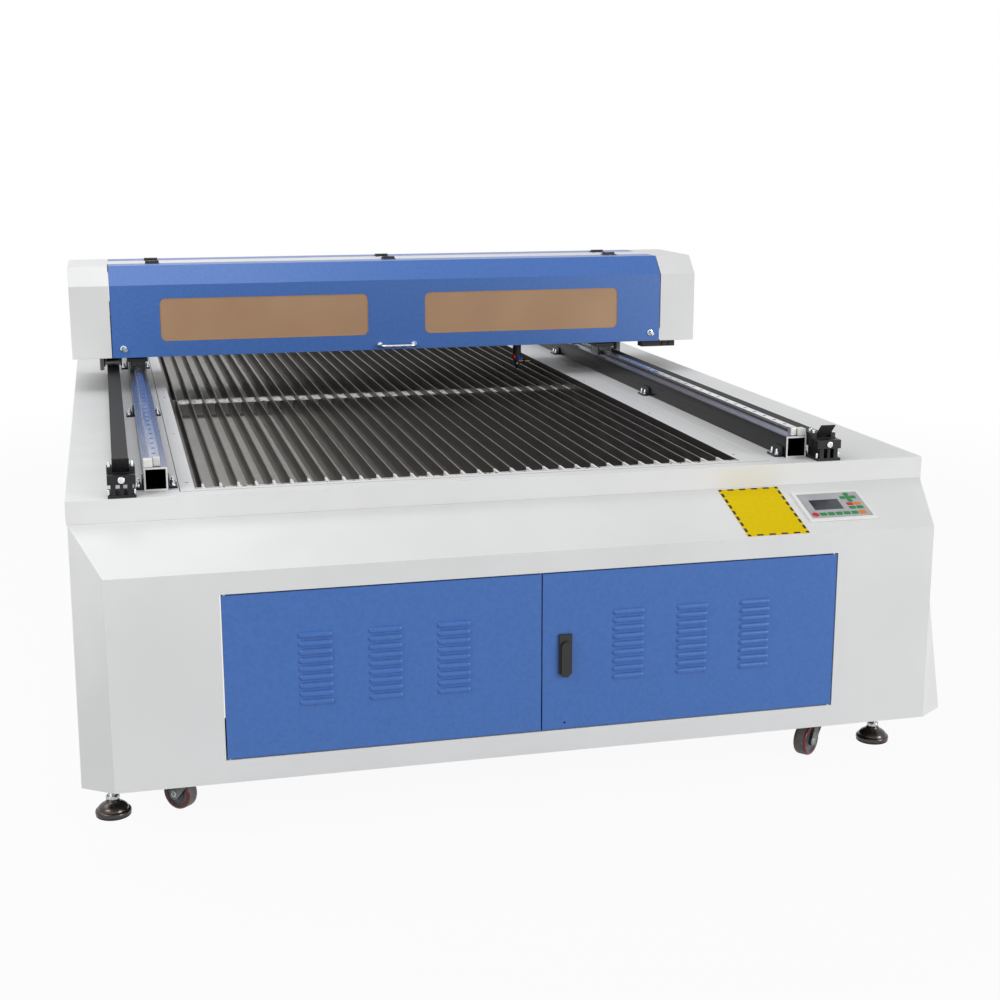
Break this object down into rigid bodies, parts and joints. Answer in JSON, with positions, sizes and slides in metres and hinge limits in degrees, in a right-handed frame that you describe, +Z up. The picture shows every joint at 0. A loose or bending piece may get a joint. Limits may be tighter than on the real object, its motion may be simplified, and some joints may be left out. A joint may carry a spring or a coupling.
{
  "type": "flatbed laser cutting machine",
  "caption": "Flatbed carbon dioxide laser cutter: sheet cabinet on feet and casters, knife-slat bed, tube rails and a belt-driven gantry whose hinged covers house laser tube and head.",
  "frame": {"origin": "On the floor, at the middle of the overall box.", "axes": "+X to the operator's right, +Y from the operator to the rear, +Z up."},
  "size_m": [1.93, 3.2154, 1.0845],
  "materials": {
    "frame_paint": "dark grey primer",
    "white_powder_coat": "fine textured off-white powder coat",
    "blue_powder_coat": "fine textured blue powder coat",
    "slat_steel": "dark rolled steel with smoke stains",
    "black_anodised": "black anodised, satin",
    "ground_steel": "ground bright",
    "chrome_plate": "bright plated",
    "white_plastic": "moulded",
    "belt_rubber": "black, cloth faced",
    "bezel_plastic": "light grey moulded",
    "overlay_grey": "membrane overlay",
    "screen_glass": "unlit display window",
    "key_membrane": "embossed coloured keys",
    "notice_yellow": "plain printed plate",
    "black_plastic": "moulded",
    "film_acrylic": "sheet under brown protective film",
    "tube_glass": "clear borosilicate",
    "motor_black": "black enamel",
    "bare_aluminium": "milled",
    "wheel_plastic": "grey nylon",
    "tray_steel": "galvanised light grey"
  },
  "bodies": {
    "machine": {"base_frame": "frame_paint", "cabinet_skins": "white_powder_coat", "console_shell": "white_powder_coat", "deck_plate": "white_powder_coat", "bed_ring": "white_powder_coat", "slat_beams": "white_powder_coat", "knife_slats": "slat_steel", "tray_sheets": "tray_steel", "rail_tubes": "black_anodised", "y_rails": "ground_steel", "rail_clamps": "black_anodised", "chrome_bolts": "chrome_plate", "rail_stops": "white_plastic", "drive_belts": "belt_rubber", "belt_anchors": "black_anodised", "leveling_feet": "ground_steel", "panel_bezel": "bezel_plastic", "panel_face": "overlay_grey", "panel_screen": "screen_glass", "panel_keys": "key_membrane", "notice_plate": "notice_yellow"},
    "door_left": {"door_left": "blue_powder_coat"},
    "door_right": {"door_right": "blue_powder_coat", "latch_body": "black_plastic"},
    "latch": {"latch_handle": "black_plastic"},
    "gantry": {"gantry_beam": "black_anodised", "carriage_plates": "black_anodised", "rail_carriages": "ground_steel", "idler_brackets": "black_anodised", "belt_loops": "belt_rubber", "end_frames": "white_powder_coat", "end_caps": "white_powder_coat", "top_strip": "white_powder_coat", "cover_hinges": "black_plastic", "side_bracket": "black_anodised", "x_rail": "ground_steel", "drive_motors": "motor_black", "optics_mounts": "bare_aluminium", "laser_tube": "tube_glass"},
    "front_cover": {"front_cover": "blue_powder_coat", "front_windows": "film_acrylic", "cover_handle": "chrome_plate"},
    "rear_cover": {"rear_cover": "blue_powder_coat"},
    "lock_left": {"lock_left": "chrome_plate"},
    "lock_right": {"lock_right": "chrome_plate"},
    "head": {"head_carriage": "black_anodised"},
    "lens_tube": {"lens_tube": "black_anodised"},
    "drive_shaft": {"drive_shaft": "ground_steel"},
    "idler_fl": {"idler_fl": "chrome_plate"},
    "idler_rl": {"idler_rl": "chrome_plate"},
    "idler_fr": {"idler_fr": "chrome_plate"},
    "idler_rr": {"idler_rr": "chrome_plate"},
    "caster_fl": {"caster_fork_fl": "ground_steel"},
    "wheel_fl": {"caster_wheel_fl": "wheel_plastic"},
    "caster_fr": {"caster_fork_fr": "ground_steel"},
    "wheel_fr": {"caster_wheel_fr": "wheel_plastic"},
    "caster_rl": {"caster_fork_rl": "ground_steel"},
    "wheel_rl": {"caster_wheel_rl": "wheel_plastic"},
    "caster_rr": {"caster_fork_rr": "ground_steel"},
    "wheel_rr": {"caster_wheel_rr": "wheel_plastic"}
  },
  "joints": [
    {"name": "gantry_travel", "type": "slide", "parent": "machine", "child": "gantry", "axis": [0, 1, 0], "range_m": [-1.41, 1.02]},
    {"name": "drive_shaft_turn", "type": "hinge", "parent": "gantry", "child": "drive_shaft", "pos_m": [-0.052, 0.30265, 0.815], "axis": [1, 0, 0], "continuous": true},
    {"name": "idler_fl_turn", "type": "hinge", "parent": "gantry", "child": "idler_fl", "pos_m": [-0.85, 0.26765, 0.7753], "axis": [1, 0, 0], "continuous": true},
    {"name": "idler_rl_turn", "type": "hinge", "parent": "gantry", "child": "idler_rl", "pos_m": [-0.85, 0.33765, 0.7753], "axis": [1, 0, 0], "continuous": true},
    {"name": "idler_fr_turn", "type": "hinge", "parent": "gantry", "child": "idler_fr", "pos_m": [0.732, 0.26765, 0.7753], "axis": [1, 0, 0], "continuous": true},
    {"name": "idler_rr_turn", "type": "hinge", "parent": "gantry", "child": "idler_rr", "pos_m": [0.732, 0.33765, 0.7753], "axis": [1, 0, 0], "continuous": true},
    {"name": "head_travel", "type": "slide", "parent": "gantry", "child": "head", "axis": [1, 0, 0], "range_m": [-1.09, 0.11]},
    {"name": "focus_adjust", "type": "slide", "parent": "head", "child": "lens_tube", "axis": [0, 0, 1], "range_m": [-0.008, 0.008]},
    {"name": "front_cover_lift", "type": "hinge", "parent": "gantry", "child": "front_cover", "pos_m": [0, 0.23565, 1.0805], "axis": [-1, 0, 0], "range_deg": [0, 95]},
    {"name": "rear_cover_lift", "type": "hinge", "parent": "gantry", "child": "rear_cover", "pos_m": [0, 0.35965, 1.0805], "axis": [1, 0, 0], "range_deg": [0, 95]},
    {"name": "lock_left_turn", "type": "hinge", "parent": "front_cover", "child": "lock_left", "pos_m": [-0.818, 0.09765, 0.838], "axis": [0, -1, 0], "range_deg": [0, 90]},
    {"name": "lock_right_turn", "type": "hinge", "parent": "front_cover", "child": "lock_right", "pos_m": [0.818, 0.09765, 0.838], "axis": [0, 1, 0], "range_deg": [0, 90]},
    {"name": "door_left_swing", "type": "hinge", "parent": "machine", "child": "door_left", "pos_m": [-0.6648, -1.59115, 0.375], "axis": [0, 0, -1], "range_deg": [0, 110]},
    {"name": "door_right_swing", "type": "hinge", "parent": "machine", "child": "door_right", "pos_m": [0.6598, -1.59115, 0.375], "axis": [0, 0, 1], "range_deg": [0, 110]},
    {"name": "latch_turn", "type": "hinge", "parent": "door_right", "child": "latch", "pos_m": [0.0455, -1.59635, 0.37], "axis": [0, 1, 0], "range_deg": [0, 90]},
    {"name": "caster_fl_swivel", "type": "hinge", "parent": "machine", "child": "caster_fl", "pos_m": [-0.735, -1.37235, 0.092], "axis": [0, 0, 1], "continuous": true},
    {"name": "wheel_fl_roll", "type": "hinge", "parent": "caster_fl", "child": "wheel_fl", "pos_m": [-0.76001, -1.34645, 0.0385], "axis": [-0.7193, -0.6947, 0], "continuous": true},
    {"name": "caster_fr_swivel", "type": "hinge", "parent": "machine", "child": "caster_fr", "pos_m": [0.735, -1.37235, 0.092], "axis": [0, 0, 1], "continuous": true},
    {"name": "wheel_fr_roll", "type": "hinge", "parent": "caster_fr", "child": "wheel_fr", "pos_m": [0.70663, -1.39451, 0.0385], "axis": [0.6157, -0.788, 0], "continuous": true},
    {"name": "caster_rl_swivel", "type": "hinge", "parent": "machine", "child": "caster_rl", "pos_m": [-0.735, 1.57765, 0.092], "axis": [0, 0, 1], "continuous": true},
    {"name": "wheel_rl_roll", "type": "hinge", "parent": "caster_rl", "child": "wheel_rl", "pos_m": [-0.70954, 1.55219, 0.0385], "axis": [0.7071, 0.7071, 0], "continuous": true},
    {"name": "caster_rr_swivel", "type": "hinge", "parent": "machine", "child": "caster_rr", "pos_m": [0.735, 1.57765, 0.092], "axis": [0, 0, 1], "continuous": true},
    {"name": "wheel_rr_roll", "type": "hinge", "parent": "caster_rr", "child": "wheel_rr", "pos_m": [0.72269, 1.54382, 0.0385], "axis": [0.9397, -0.342, 0], "continuous": true}
  ],
  "couplings": [
    {"joint": "drive_shaft_turn", "follows": "gantry_travel", "rad_per_m": 51.282},
    {"joint": "idler_fl_turn", "follows": "gantry_travel", "rad_per_m": -136.99},
    {"joint": "idler_rl_turn", "follows": "gantry_travel", "rad_per_m": -136.99},
    {"joint": "idler_fr_turn", "follows": "gantry_travel", "rad_per_m": -136.99},
    {"joint": "idler_rr_turn", "follows": "gantry_travel", "rad_per_m": -136.99}
  ]
}
